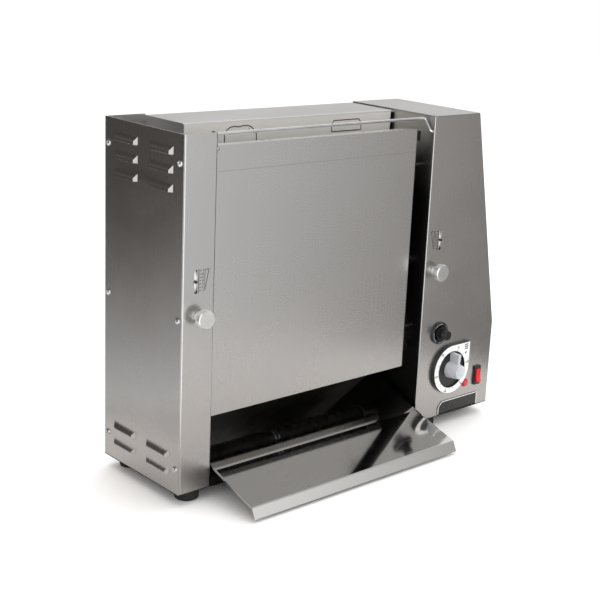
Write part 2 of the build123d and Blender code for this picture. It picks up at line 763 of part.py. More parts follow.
for side in lanes:
    hand = inward[side]
    knob_x = adjuster_x[side]
    crank_x = slot_x[side]
    pivot_y, pivot_z = drive_y, pointer_z
    spindle_end = front + bracket_depth + 4.0

    with BuildPart() as adjuster_knob:
        face_y = front - knob_depth
        rod((knob_x, face_y, adjuster_z), (0, 1, 0), knob_radius, knob_head)
        rod((knob_x, face_y, adjuster_z), (0, 1, 0), collar_radius, knob_depth - knob_gap)
        rims = adjuster_knob.edges().filter_by(GeomType.CIRCLE).group_by(Axis.Y)[0]
        chamfer(rims, length=1.2)
        rod((knob_x, spindle_front, adjuster_z), (0, 1, 0), spindle_radius, 12.0, Mode.SUBTRACT)
        with BuildSketch(xz_plane(face_y + knob_head)) as knurl:
            with Locations((knob_x, adjuster_z)):
                with PolarLocations(knob_radius + 0.2, knurl_count):
                    Circle(0.5)
        extrude(knurl.sketch, amount=knob_head - 2.0, mode=Mode.SUBTRACT)
    hand_over(adjuster_knob.part, f"{side}_adjuster_knob")

    with BuildPart() as adjuster_spindle:
        spindle_start = (knob_x, spindle_front, adjuster_z)
        rod(spindle_start, (0, 1, 0), spindle_radius, spindle_end - spindle_front)
    hand_over(adjuster_spindle.part, f"{side}_adjuster_spindle")

    post_inner = crank_x - hand * (crank_sheet / 2 + clearance)
    post_x = sorted((post_inner, post_inner - hand * post_sheet))
    foot_x = sorted((knob_x, post_inner - hand * post_sheet))
    pin_z = pivot_z - crank_pin_drop
    with BuildPart() as adjuster_nut:
        low = (knob_x - nut_size[0] / 2, drive_y - nut_size[1] / 2, adjuster_z - nut_size[2] / 2)
        slab(low, tuple(a + b for a, b in zip(low, nut_size)))
        rod((nut_face(side), drive_y, adjuster_z), (hand, 0, 0), trunnion_radius, trunnion_length)
        half = post_width / 2
        slab((foot_x[0], drive_y - half, low[2]), (foot_x[1], drive_y + half, low[2] + nut_size[2]))
        slab((post_x[0], drive_y - half, adjuster_z), (post_x[1], drive_y + half, pin_z + 2.0))
        pin_length = post_sheet + clearance + crank_sheet + clearance
        pin_start = (post_inner - hand * post_sheet, drive_y, pin_z)
        rod(pin_start, (hand, 0, 0), crank_pin_radius, pin_length)
        bore_start = (knob_x, low[1], adjuster_z)
        rod(bore_start, (0, 1, 0), spindle_radius + running_fit, nut_size[1], Mode.SUBTRACT)
    hand_over(adjuster_nut.part, f"{side}_adjuster_nut")

    with BuildPart() as pointer:
        tip_y = front - tip_reach
        with BuildSketch(yz_plane(crank_x - crank_sheet / 2)) as crank:
            with Locations((pivot_y, pivot_z)):
                Circle(pivot_radius + 3.0)
            with Locations(((tip_y + pivot_y) / 2, pivot_z)):
                Rectangle(pivot_y - tip_y, crank_bar)
            with Locations((pivot_y, pivot_z - crank_pin_drop / 2 - 1.0)):
                Rectangle(2 * pivot_radius + 2.0, crank_pin_drop + 3.0)
            with Locations((pivot_y, pivot_z)):
                Circle(pivot_radius + running_fit, mode=Mode.SUBTRACT)
            with Locations((pivot_y, pin_z)):
                SlotOverall(2 * crank_pin_radius + 2.6, 2 * crank_pin_radius + 0.6, 90, mode=Mode.SUBTRACT)
        extrude(crank.sketch, amount=crank_sheet)
        tip_half = slot_width / 2 - 0.4
        tip = [
            (crank_x - hand * tip_half, pivot_z + tip_half),
            (crank_x + hand * tip_half, pivot_z),
            (crank_x - hand * tip_half, pivot_z - tip_half),
        ]
        outline(xz_plane(tip_y + 1.0), tip, 1.0)
    hand_over(pointer.part, f"{side}_pointer")

    plate_x = sorted((outboard(side, bracket_offset), outboard(side, bracket_offset + bracket_sheet)))
    flange_x = sorted((outboard(side, bracket_offset), outboard(side, bracket_offset + bracket_flange)))
    rear_x = sorted((outboard(side, bracket_offset), outboard(side, -7.0)))
    bracket_z = (adjuster_z - 10.0, pivot_z + 10.0)
    flange_y = front + sheet
    rear_y = front + bracket_depth
    with BuildPart() as adjuster_bracket:
        slab((plate_x[0], flange_y, bracket_z[0]), (plate_x[1], rear_y, bracket_z[1]))
        slab((flange_x[0], flange_y, bracket_z[0]), (flange_x[1], flange_y + bracket_sheet, bracket_z[1]))
        rear_top = adjuster_z + 10.0
        slab((rear_x[0], rear_y - bracket_sheet, bracket_z[0]), (rear_x[1], rear_y, rear_top))
        bore_start = (knob_x, rear_y - bracket_sheet, adjuster_z)
        rod(bore_start, (0, 1, 0), spindle_radius + running_fit, bracket_sheet, Mode.SUBTRACT)
        pivot_start = (outboard(side, bracket_offset), pivot_y, pivot_z)
        pivot_length = abs(crank_x - pivot_start[0]) + crank_sheet / 2 + clearance
        rod(pivot_start, (hand, 0, 0), pivot_radius, pivot_length)
    hand_over(adjuster_bracket.part, f"{side}_adjuster_bracket")

# ---- controls --------------------------------------------------------------------------------
panel_back = front + sheet
dial_recess = 3.0
thermostat_size = (42.0, 40.0, 42.0)
with BuildPart() as thermostat:
    low = (thermostat_at[0] - thermostat_size[0] / 2, panel_back, thermostat_at[1] - thermostat_size[2] / 2)
    slab(low, tuple(a + b for a, b in zip(low, thermostat_size)))
    for blade_x in (-12.0, 0.0, 12.0):
        blade_low = (thermostat_at[0] + blade_x - 3.2, low[1] + thermostat_size[1], thermostat_at[1] - 0.4)
        slab(blade_low, (blade_low[0] + 6.4, blade_low[1] + 9.0, blade_low[2] + 0.8))
    bore_start = (thermostat_at[0], panel_back, thermostat_at[1])
    rod(bore_start, (0, 1, 0), control_shaft_radius + running_fit, 12.0, Mode.SUBTRACT)
hand_over(thermostat.part, "thermostat")

with BuildPart() as thermostat_dial:
    with BuildSketch(xz_plane(front)) as dial:
        with Locations(thermostat_at):
            Circle(dial_radius)
            Rectangle(dial_radius, dial_radius, align=(Align.MIN, Align.MIN))
            Circle(control_shaft_radius + clearance, mode=Mode.SUBTRACT)
    extrude(dial.sketch, amount=dial_thickness)
    with BuildSketch(xz_plane(front - dial_thickness + dial_recess)) as recess:
        with Locations(thermostat_at):
            Circle(dial_hub_radius)
    extrude(recess.sketch, amount=dial_recess, mode=Mode.SUBTRACT)
hand_over(thermostat_dial.part, "thermostat_dial")

knob_base_y = front - dial_thickness + dial_recess - knob_gap
knob_end_y = front - 24.5
boss_radii = (13.5, 10.5)
fin_thickness = 5.0
fin_reach = dial_hub_radius - 1.5
with BuildPart() as thermostat_knob:
    with BuildSketch(xz_plane(knob_base_y)) as boss_foot:
        with Locations(thermostat_at):
            Circle(boss_radii[0])
    with BuildSketch(xz_plane(knob_end_y)) as boss_end:
        with Locations(thermostat_at):
            Circle(boss_radii[1])
    loft([boss_foot.sketch.face(), boss_end.sketch.face()])
    fin = [
        (knob_base_y, thermostat_at[1]),
        (knob_base_y, thermostat_at[1] + fin_reach),
        (knob_end_y + 3.5, thermostat_at[1] + fin_reach - 0.5),
        (knob_end_y + 6.0, thermostat_at[1]),
    ]
    outline(yz_plane(thermostat_at[0] - fin_thickness / 2), fin, fin_thickness)
    end_rim = thermostat_knob.edges().filter_by(GeomType.CIRCLE).sort_by(Axis.Y)[0]
    fillet(end_rim, radius=1.2)
    shaft_start = (thermostat_at[0], knob_base_y - 8.0, thermostat_at[1])
    shaft_length = panel_back + 11.5 - shaft_start[1]
    rod(shaft_start, (0, 1, 0), control_shaft_radius, shaft_length)
hand_over(thermostat_knob.part, "thermostat_knob")

speed_bezel_radii = (17.0, 13.0)
speed_bezel_height = 4.0
with BuildPart() as speed_bezel:
    rod((speed_at[0], front, speed_at[1]), (0, -1, 0), speed_bezel_radii[0], speed_bezel_height)
    rims = speed_bezel.edges().filter_by(GeomType.CIRCLE).group_by(Axis.Y)[0]
    fillet(rims, radius=1.5)
    recess_start = (speed_at[0], front - 1.5, speed_at[1])
    rod(recess_start, (0, -1, 0), speed_bezel_radii[1], speed_bezel_height, Mode.SUBTRACT)
    hole_start = (speed_at[0], front, speed_at[1])
    rod(hole_start, (0, -1, 0), control_shaft_radius + clearance, 2.0, Mode.SUBTRACT)
hand_over(speed_bezel.part, "speed_bezel")

speed_knob_start = front - 1.5 - knob_gap
with BuildPart() as speed_knob:
    start = (speed_at[0], speed_knob_start, speed_at[1])
    rod(start, (0, -1, 0), 11.0, 6.0)
    rod(start, (0, -1, 0), 7.5, 17.5)
    rims = speed_knob.edges().filter_by(GeomType.CIRCLE).group_by(Axis.Y)[0]
    fillet(rims, radius=1.5)
    with BuildSketch(xz_plane(speed_knob_start - 6.0)) as grip:
        with Locations(speed_at):
            with PolarLocations(7.7, 12):
                Circle(0.8)
    extrude(grip.sketch, amount=12.0, mode=Mode.SUBTRACT)
    rod(start, (0, 1, 0), control_shaft_radius, panel_back + 11.5 - speed_knob_start)
hand_over(speed_knob.part, "speed_knob")

with BuildPart() as speed_control:
    start = (speed_at[0], panel_back, speed_at[1])
    rod(start, (0, 1, 0), 13.0, 20.0)
    rod(start, (0, 1, 0), control_shaft_radius + running_fit, 12.0, Mode.SUBTRACT)
    lug_low = (speed_at[0] - 7.0, panel_back + 4.0, speed_at[1] - 20.0)
    slab(lug_low, (speed_at[0] + 7.0, panel_back + 6.0, speed_at[1] - 10.0))
hand_over(speed_control.part, "speed_control")

with BuildPart() as pilot_lamp:
    start = (lamp_at[0], front, lamp_at[1])
    rod(start, (0, 1, 0), lamp_radius, 26.0)
    rod(start, (0, -1, 0), 6.6, 1.6)
    rod(start, (0, -1, 0), 5.4, 4.0)
    rims = pilot_lamp.edges().filter_by(GeomType.CIRCLE).group_by(Axis.Y)[0]
    fillet(rims, radius=1.4)
hand_over(pilot_lamp.part, "pilot_lamp")

rocker_size = (8.6, 21.0)
rocker_frame_size = (14.0, 30.5)
rocker_frame_height = 3.0
with BuildPart() as rocker_frame:
    with BuildSketch(xz_plane(front)) as rim:
        with Locations(rocker_at):
            RectangleRounded(*rocker_frame_size, 1.5)
            Rectangle(*(size + 2 * clearance for size in rocker_size), mode=Mode.SUBTRACT)
    extrude(rim.sketch, amount=rocker_frame_height)
    with BuildSketch(xz_plane(front + 26.0)) as can:
        with Locations(rocker_at):
            Rectangle(*(size - 2 * running_fit for size in rocker_hole))
    extrude(can.sketch, amount=26.0)
    with BuildSketch(xz_plane(front + 12.0)) as well:
        with Locations(rocker_at):
            Rectangle(rocker_size[0] + 2 * clearance, rocker_hole[1] - 3.0)
    extrude(well.sketch, amount=12.0, mode=Mode.SUBTRACT)
hand_over(rocker_frame.part, "rocker_frame")

rocker_pivot_y = front - 4.0
rocker_depth = 10.4
rocker_dish = 1.2           # how far the middle of its face stands in front of the pivot
rocker_tilts = (12.5, -4.5)  # degrees: lower half standing out, upper half pressed in
with BuildPart() as rocker:
    mid = (rocker_pivot_y - rocker_dish, rocker_at[1])
    reach = 2 * rocker_depth
    low_rise, high_rise = (reach * sin(radians(tilt)) for tilt in rocker_tilts)
    with BuildSketch(yz_plane(rocker_at[0] - rocker_size[0] / 2)) as profile:
        with Locations((rocker_pivot_y, rocker_at[1])):
            Circle(rocker_depth)
        with BuildLine():
            Polyline(
                mid,
                (mid[0] - low_rise, mid[1] - reach),
                (mid[0] - reach, mid[1] - reach),
                (mid[0] - reach, mid[1] + reach),
                (mid[0] - high_rise, mid[1] + reach),
                close=True,
            )
        make_face(mode=Mode.SUBTRACT)
    extrude(profile.sketch, amount=rocker_size[0])
hand_over(rocker.part, "rocker")

with BuildPart() as name_plate:
    plate_low, plate_high = name_plate_low, name_plate_high
    notch = 8.0
    badge = [
        plate_low,
        (plate_high[0], plate_low[1]),
        plate_high,
        (plate_low[0] + notch, plate_high[1]),
        (plate_low[0], plate_high[1] - notch),
    ]
    outline(xz_plane(front), badge, 1.0)
hand_over(name_plate.part, "name_plate")

terminal_size = (60.0, 20.0, 16.0)
terminal_at = (right - 75.0, back - 38.0)
terminal_top = foot_of_wall + terminal_size[2]
with BuildPart() as terminal_block:
    with BuildSketch(Plane.XY.offset(foot_of_wall)) as block:
        with Locations(terminal_at):
            Rectangle(terminal_size[0], terminal_size[1])
    extrude(block.sketch, amount=terminal_size[2])
    with BuildSketch(Plane.XY.offset(terminal_top)) as wells:
        with Locations(terminal_at):
            with GridLocations(9.0, 11.0, 6, 2):
                Circle(2.6)
    extrude(wells.sketch, amount=-terminal_size[2] / 2, mode=Mode.SUBTRACT)
hand_over(terminal_block.part, "terminal_block")

gland_inside = 10.0
gland_bore = 4.0
gland_hex = gland_radius + 4.0
with BuildPart() as cable_gland:
    start = (gland_at[0], back - gland_inside, gland_at[1])
    rod(start, (0, 1, 0), gland_radius, gland_inside)
    for hex_y, hex_width in ((back + 6.0, 6.0), (back - sheet, 5.0)):
        with BuildSketch(xz_plane(hex_y)) as hexagon:
            with Locations(gland_at):
                RegularPolygon(gland_hex, 6)
        extrude(hexagon.sketch, amount=hex_width)
    rod((gland_at[0], back, gland_at[1]), (0, 1, 0), gland_radius + 1.0, gland_reach)
    dome = cable_gland.edges().filter_by(GeomType.CIRCLE).group_by(Axis.Y)[-1]
    fillet(dome, radius=3.0)
    rod(start, (0, 1, 0), gland_bore, gland_inside + gland_reach, Mode.SUBTRACT)
hand_over(cable_gland.part, "cable_gland")

# ---- tray and feet ---------------------------------------------------------------------------
tray_x = (bay_left + tray_left_gap, bay_right - tray_right_gap)
tray_hem = 3.0
tray_bend = 2.0
rail_front = front + 4.0
rail_rear = tray_rear[0] - 3.0


def tray_height(y):
    """Middle of the tray's sheet at a depth."""
    low, high = (tray_edge, tray_fold) if y < tray_fold[0] else (tray_fold, tray_rear)
    return low[1] + (high[1] - low[1]) * (y - low[0]) / (high[0] - low[0])


with BuildPart() as landing_tray:
    tray_path = [tray_lip, tray_edge, tray_fold, tray_rear]
    tray_section = [(y, z - sheet / 2) for y, z in tray_path]
    tray_section[0] = (tray_lip[0] + sheet / 2, tray_lip[1])
    bent_sheet(yz_plane(tray_x[0]), tray_section, tray_bend, tray_x[1] - tray_x[0])
    rail = [
        (rail_front, tray_height(rail_front) - sheet / 2),
        (rail_rear, tray_height(rail_rear) - sheet / 2),
        (rail_rear, tray_runner_z),
        (rail_front, tray_runner_z),
    ]
    hem = [
        (tray_edge[0] + 1.0, tray_height(tray_edge[0] + 1.0) - sheet / 2),
        (rail_front, tray_height(rail_front) - sheet / 2),
        (rail_front, tray_height(rail_front) - tray_hem),
        (tray_edge[0] + 1.0, tray_height(tray_edge[0] + 1.0) - tray_hem),
    ]
    for flange_x in (tray_x[0], tray_x[1] - sheet):
        outline(yz_plane(flange_x), rail, sheet)
        outline(yz_plane(flange_x), hem, sheet)
hand_over(landing_tray.part, "landing_tray")

with BuildPart() as tray_runners:
    for wall_x, edge_x in ((bay_left, tray_x[0]), (bay_right, tray_x[1])):
        hand = 1.0 if edge_x > wall_x else -1.0
        ledge_x = sorted((wall_x, edge_x + hand * runner_width))
        leg_x = sorted((wall_x, wall_x + hand * sheet))
        ledge_z = tray_runner_z - sheet
        slab((ledge_x[0], rail_front + 12.0, ledge_z), (ledge_x[1], rail_rear, tray_runner_z))
        slab((leg_x[0], rail_front + 12.0, foot_of_wall), (leg_x[1], rail_rear, ledge_z))
hand_over(tray_runners.part, "tray_runners")

with BuildPart() as feet:
    for foot_x in foot_columns:
        for foot_y in foot_rows:
            rod((foot_x, foot_y, 0), (0, 0, 1), foot_radius, base)
            rod((foot_x, foot_y, base), (0, 0, 1), screw_radius, sheet + 3.0)
    for level in (0, base):
        rims = feet.edges().filter_by(GeomType.CIRCLE)
        rims = rims.filter_by_position(Axis.Z, level - 0.01, level + 0.01)
        fillet([rim for rim in rims if rim.radius > 2 * screw_radius], radius=2.0)
hand_over(feet.part, "feet")
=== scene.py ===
import json
import math

import bmesh
import bpy
from mathutils import Matrix, Vector

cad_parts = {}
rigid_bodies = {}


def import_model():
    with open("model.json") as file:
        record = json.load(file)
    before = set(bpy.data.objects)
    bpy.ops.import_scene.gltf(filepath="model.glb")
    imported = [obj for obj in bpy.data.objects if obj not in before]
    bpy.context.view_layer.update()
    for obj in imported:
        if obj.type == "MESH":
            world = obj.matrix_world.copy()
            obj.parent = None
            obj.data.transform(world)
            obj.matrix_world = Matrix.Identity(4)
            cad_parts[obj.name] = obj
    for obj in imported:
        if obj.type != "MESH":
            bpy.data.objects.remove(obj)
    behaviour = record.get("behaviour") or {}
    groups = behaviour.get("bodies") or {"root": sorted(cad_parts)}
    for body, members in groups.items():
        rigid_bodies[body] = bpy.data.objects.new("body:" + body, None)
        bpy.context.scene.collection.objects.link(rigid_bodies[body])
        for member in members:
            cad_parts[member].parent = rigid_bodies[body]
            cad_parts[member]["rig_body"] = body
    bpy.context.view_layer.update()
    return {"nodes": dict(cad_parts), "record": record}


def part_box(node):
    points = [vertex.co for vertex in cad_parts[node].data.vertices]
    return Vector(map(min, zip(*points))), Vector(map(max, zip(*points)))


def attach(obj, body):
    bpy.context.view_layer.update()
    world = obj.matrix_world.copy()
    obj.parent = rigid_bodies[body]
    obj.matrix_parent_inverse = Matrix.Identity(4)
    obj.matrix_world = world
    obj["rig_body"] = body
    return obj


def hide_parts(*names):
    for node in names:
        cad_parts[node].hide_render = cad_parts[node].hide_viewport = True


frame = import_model()
NODES = frame["nodes"]
JOINTS = {joint["name"]: joint for joint in frame["record"]["behaviour"]["joints"]}
MM = 0.001
SLOT_OF = {row["node"]: row["material_slot"] for row in frame["record"]["subparts"]}


# ---- node trees ------------------------------------------------------------------------------
def new_material(name):
    mat = bpy.data.materials.new(name)
    mat.use_nodes = True
    return mat, mat.node_tree, mat.node_tree.nodes["Principled BSDF"]


def put(shader, **values):
    """Sets sockets of a node by name; an underscore in a key stands for a space."""
    for key, value in values.items():
        shader.inputs[key.replace("_", " ")].default_value = value


def noise(tree, stretch, scale, detail=3.0, rough=0.55):
    """Noise over object coordinates in metres, stretched along the axes."""
    coords = tree.nodes.new("ShaderNodeTexCoord")
    mapping = tree.nodes.new("ShaderNodeMapping")
    mapping.inputs["Scale"].default_value = stretch
    tex = tree.nodes.new("ShaderNodeTexNoise")
    put(tex, Scale=scale, Detail=detail, Roughness=rough)
    tree.links.new(coords.outputs["Object"], mapping.inputs["Vector"])
    tree.links.new(mapping.outputs["Vector"], tex.inputs["Vector"])
    return tex.outputs["Fac"]


def spread(tree, value, low, high, start=0.25, end=0.75):
    """Maps a value between start and end to one between low and high."""
    node = tree.nodes.new("ShaderNodeMapRange")
    put(node, From_Min=start, From_Max=end, To_Min=low, To_Max=high)
    tree.links.new(value, node.inputs["Value"])
    return node.outputs["Result"]


def ramp(tree, value, *stops):
    """Colour ramp through (place, colour) stops."""
    node = tree.nodes.new("ShaderNodeValToRGB")
    elements = node.color_ramp.elements
    for element, (place, colour) in zip(elements, (stops[0], stops[-1])):
        element.position, element.color = place, (*colour, 1)
    for place, colour in stops[1:-1]:
        elements.new(place).color = (*colour, 1)
    tree.links.new(value, node.inputs["Fac"])
    return node.outputs["Color"]


def join(tree, operation, a, b):
    """Maths of two values, each a socket or a float."""
    node = tree.nodes.new("ShaderNodeMath")
    node.operation = operation
    for socket, value in zip(node.inputs, (a, b)):
        if isinstance(value, float):
            socket.default_value = value
        else:
            tree.links.new(value, socket)
    return node.outputs["Value"]


def relief(tree, shader, height, distance):
    """Bumps the surface by a height between 0 and 1 times a distance in metres."""
    bump = tree.nodes.new("ShaderNodeBump")
    put(bump, Distance=distance, Strength=1.0)
    tree.links.new(height, bump.inputs["Height"])
    tree.links.new(bump.outputs["Normal"], shader.inputs["Normal"])


def shade(colour, factor):
    return tuple(min(1.0, c * factor) for c in colour)


def brushed(name, colour, rough, grain, depth=5e-7, smudge=0.04):
    """Brushed sheet: fine streaks along an axis, a fine grit and a cloudy sheen."""
    mat, tree, shader = new_material(name)
    per_metre_along, per_metre_across = 9, 800
    along = [per_metre_along if axis == grain else per_metre_across for axis in "XYZ"]
    streak = noise(tree, along, 1.0, 2.0, 0.5)
    grit = noise(tree, (1, 1, 1), 1200.0, 1.0, 0.5)
    cloud = noise(tree, (1, 1, 1.3), 7.0, 4.0, 0.5)
    streak_share = 0.3
    mixed = join(
        tree, "ADD",
        join(tree, "MULTIPLY", streak, streak_share),
        join(tree, "MULTIPLY", grit, 1.0 - streak_share),
    )
    tint = ramp(
        tree, mixed,
        (0.3, shade(colour, 0.975)), (0.5, colour), (0.72, shade(colour, 1.025)),
    )
    tree.links.new(tint, shader.inputs["Base Color"])
    sheen = join(
        tree, "ADD",
        spread(tree, mixed, rough - 0.015, rough + 0.02),
        spread(tree, cloud, -smudge, smudge),
    )
    tree.links.new(sheen, shader.inputs["Roughness"])
    relief(tree, shader, mixed, depth)
    put(shader, Metallic=1.0)
    return mat


def metal(name, colour, rough, grain_scale=900.0, depth=3e-6, spots=None):
    """Turned, drawn or cast metal with a fine grain; spots is the colour of its stains."""
    mat, tree, shader = new_material(name)
    grain = noise(tree, (1, 1, 1), grain_scale, 3.0)
    cloud = noise(tree, (1, 1, 1), 26.0, 5.0, 0.6)
    stain = spots or shade(colour, 0.82)
    tree.links.new(
        ramp(tree, cloud, (0.32, stain), (0.55, colour), (0.75, shade(colour, 1.1))),
        shader.inputs["Base Color"],
    )
    sheen = join(
        tree, "ADD",
        spread(tree, grain, rough - 0.06, rough + 0.08),
        spread(tree, cloud, 0.03, -0.03),
    )
    tree.links.new(sheen, shader.inputs["Roughness"])
    relief(tree, shader, grain, depth)
    put(shader, Metallic=1.0)
    return mat


def plastic(name, colour, rough, grain_scale=1400.0, depth=8e-6, coat=0.0, lift=1.25):
    """Moulded plastic, enamel or print: faint mottling and a fine texture.

    lift is how much lighter than the colour its light patches are.
    """
    mat, tree, shader = new_material(name)
    grain = noise(tree, (1, 1, 1), grain_scale, 2.0)
    cloud = noise(tree, (1, 1, 1), 60.0, 4.0)
    tree.links.new(
        ramp(tree, cloud, (0.3, shade(colour, 0.86)), (0.7, shade(colour, lift))),
        shader.inputs["Base Color"],
    )
    sheen = join(
        tree, "ADD",
        spread(tree, grain, rough - 0.05, rough + 0.07),
        spread(tree, cloud, -0.03, 0.04),
    )
    tree.links.new(sheen, shader.inputs["Roughness"])
    relief(tree, shader, grain, depth)
    put(shader, Coat_Weight=coat, Coat_Roughness=0.12)
    return mat


MATERIALS = {
    "stainless_panel": brushed("stainless_panel", (0.60, 0.588, 0.578), 0.27, "Z"),
    "stainless_top": brushed("stainless_top", (0.66, 0.655, 0.65), 0.34, "X"),
    "stainless_inner": brushed("stainless_inner", (0.55, 0.54, 0.53), 0.36, "Z", smudge=0.06),
    "stainless_mirror": brushed(
        "stainless_mirror", (0.60, 0.59, 0.575), 0.07, "X", depth=2e-7, smudge=0.015
    ),
    "steel_bright": metal("steel_bright", (0.72, 0.72, 0.72), 0.2),
    "platen_cast": metal(
        "platen_cast", (0.46, 0.45, 0.44), 0.38, 500.0, 1e-5, spots=(0.3, 0.26, 0.22)
    ),
    "element_sheath": metal("element_sheath", (0.2, 0.17, 0.15), 0.45, spots=(0.13, 0.1, 0.12)),
    "ceramic_blanket": plastic(
        "ceramic_blanket", (0.8, 0.79, 0.75), 0.95, 700.0, 3e-4, lift=1.1
    ),
    "conveyor_steel": brushed("conveyor_steel", (0.44, 0.43, 0.42), 0.34, "Z"),
    "belt_wire": metal("belt_wire", (0.07, 0.065, 0.06), 0.5, spots=(0.045, 0.04, 0.035)),
    "bronze_bush": metal("bronze_bush", (0.1, 0.07, 0.045), 0.5, spots=(0.06, 0.04, 0.03)),
    "carbon_steel": metal("carbon_steel", (0.07, 0.07, 0.075), 0.5, spots=(0.05, 0.045, 0.04)),
    "motor_paint": plastic("motor_paint", (0.03, 0.032, 0.035), 0.45, 900.0, 2e-5),
    "knob_metal": metal("knob_metal", (0.9, 0.9, 0.89), 0.34),
    "pointer_black": plastic("pointer_black", (0.012, 0.012, 0.013), 0.4),
    "thermostat_case": plastic("thermostat_case", (0.05, 0.05, 0.055), 0.5),
    "dial_face": plastic("dial_face", (0.006, 0.006, 0.0065), 0.3, coat=0.3),
    "knob_grey": plastic("knob_grey", (0.5, 0.515, 0.54), 0.36, 1100.0, 1.5e-5, lift=1.12),
    "control_black": plastic("control_black", (0.006, 0.006, 0.0065), 0.28, coat=0.3),
    "lamp_red": plastic(
        "lamp_red", (0.42, 0.012, 0.018), 0.12, 260.0, 4e-5, coat=0.8, lift=1.5
    ),
    "rocker_red": plastic("rocker_red", (0.6, 0.014, 0.014), 0.24, coat=0.5),
    "badge": plastic("badge", (0.008, 0.008, 0.009), 0.28, coat=0.4),
    "foot_rubber": plastic("foot_rubber", (0.012, 0.012, 0.012), 0.75, 800.0, 4e-5),
}
PRINT = plastic("print_black", (0.018, 0.015, 0.013), 0.5)
PRINT_BROWN = plastic("print_brown", (0.05, 0.032, 0.024), 0.5)
PRINT_WHITE = plastic("print_white", (0.8, 0.8, 0.79), 0.35, coat=0.2, lift=1.08)
PRINT_GREY = plastic("print_grey", (0.32, 0.33, 0.34), 0.4)


def painted_shade_below(mat, low, high, least):
    """Paints shade: darkens a material's colour downward between two heights, to the least share of
    it.
    """
    tree = mat.node_tree
    shader = tree.nodes["Principled BSDF"]
    parts = tree.nodes.new("ShaderNodeSeparateXYZ")
    tree.links.new(tree.nodes.new("ShaderNodeTexCoord").outputs["Object"], parts.inputs["Vector"])
    share = spread(tree, parts.outputs["Z"], least, 1.0, low, high)
    scaled = tree.nodes.new("ShaderNodeVectorMath")
    scaled.operation = "SCALE"
    tree.links.new(shader.inputs["Base Color"].links[0].from_socket, scaled.inputs[0])
    tree.links.new(share, scaled.inputs["Scale"])
    tree.links.new(scaled.outputs["Vector"], shader.inputs["Base Color"])


# painted shade: the well's inner steel darkens toward the bottom, where little light reaches
painted_shade_below(MATERIALS["stainless_inner"], low=0.36, high=0.47, least=0.1)
STAINED = {"drive_shaft": "carbon_steel", "drive_rollers": "carbon_steel"}

for node, obj in NODES.items():
    for material_slot in obj.material_slots:
        material_slot.material = MATERIALS[STAINED.get(node, SLOT_OF[node])]


# ---- mesh helpers ----------------------------------------------------------------------------
def piece(name, mesh, body, slot, material=None):
    """Object that rides on a body and takes a slot, with the slot's material or another."""
    obj = bpy.data.objects.new(name, mesh)
    bpy.context.scene.collection.objects.link(obj)
    mesh.materials.clear()
    mesh.materials.append(material or MATERIALS[slot])
    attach(obj, body)
    return obj


def mesh_of(name, vertices, faces):
    mesh = bpy.data.meshes.new(name)
    mesh.from_pydata([tuple(v) for v in vertices], [], faces)
    mesh.update()
    return mesh


def smooth(mesh, degrees):
    """Shades smooth, apart from edges sharper than the angle."""
    mesh.shade_smooth()
    mesh.set_sharp_from_angle(angle=math.radians(degrees))


FLAT_ANGLE, SHARP_ANGLE = math.radians(0.6), math.radians(38.0)


def softened(node, width, roll=0.0):
    """Copy of a CAD node with its sharp edges broken by a small round; it stands for the node.

    width is in millimetres, and so is roll, the radius of the fold down its left front edge.
    """
    source = NODES[node]
    work = bmesh.new()
    work.from_mesh(source.data)
    bmesh.ops.remove_doubles(work, verts=work.verts, dist=2e-6)
    bmesh.ops.dissolve_limit(
        work, angle_limit=FLAT_ANGLE, verts=work.verts, edges=work.edges, delimit={"NORMAL"}
    )
    if roll:
        low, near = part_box(node)[0], 0.05 * MM
        fold = [
            edge for edge in work.edges
            if all(v.co.x < low.x + near and v.co.y < low.y + near for v in edge.verts)
        ]
        bmesh.ops.bevel(
            work, geom=fold, offset=roll * MM, segments=5, profile=0.5, affect="EDGES"
        )
    sharp = [
        edge for edge in work.edges
        if len(edge.link_faces) == 2 and edge.calc_face_angle(0.0) > SHARP_ANGLE
    ]
    bmesh.ops.bevel(
        work, geom=sharp, offset=width * MM, segments=2, profile=0.5, affect="EDGES",
        clamp_overlap=True,
    )
    mesh = bpy.data.meshes.new(node + "_edges")
    work.to_mesh(mesh)
    work.free()
    smooth(mesh, 50.0)
    made = piece(node + "_finished", mesh, source["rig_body"], SLOT_OF[node])
    weighted = made.modifiers.new("even_normals", "WEIGHTED_NORMAL")
    weighted.keep_sharp = True
    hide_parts(node)


def tube(points, radius, sides):
    """Vertices and faces of a wire through points, closed at both ends."""
    count = len(points)
    vertices, faces = [], []
    side = None
    for i, point in enumerate(points):
        ahead = points[min(i + 1, count - 1)]
        behind = points[max(i - 1, 0)]
        direction = (Vector(ahead) - Vector(behind)).normalized()
        if side is None:
            side = direction.orthogonal().normalized()
        side = (side - direction * side.dot(direction)).normalized()
        other = direction.cross(side)
        for k in range(sides):
            angle = math.tau * k / sides
            rim = math.cos(angle) * side + math.sin(angle) * other
            vertices.append(Vector(point) + radius * rim)
    for i in range(count - 1):
        for k in range(sides):
            a, b = i * sides + k, i * sides + (k + 1) % sides
            faces.append((a, b, b + sides, a + sides))
    faces.append(tuple(range(sides))[::-1])
    faces.append(tuple((count - 1) * sides + k for k in range(sides)))
    return vertices, faces


def gather(parts):
    """One list of vertices and faces out of several."""
    vertices, faces = [], []
    for more_vertices, more_faces in parts:
        start = len(vertices)
        vertices += more_vertices
        faces += [tuple(i + start for i in face) for face in more_faces]
    return vertices, faces


def prism(outline, place, depth):
    """Solid of a flat outline; place turns (u, v, height) into a point."""
    count = len(outline)
    vertices = [place(u, v, height) for height in (0.0, depth) for u, v in outline]
    faces = [tuple(range(count))[::-1], tuple(range(count, 2 * count))]
    faces += [(i, (i + 1) % count, (i + 1) % count + count, i + count) for i in range(count)]
    return vertices, faces


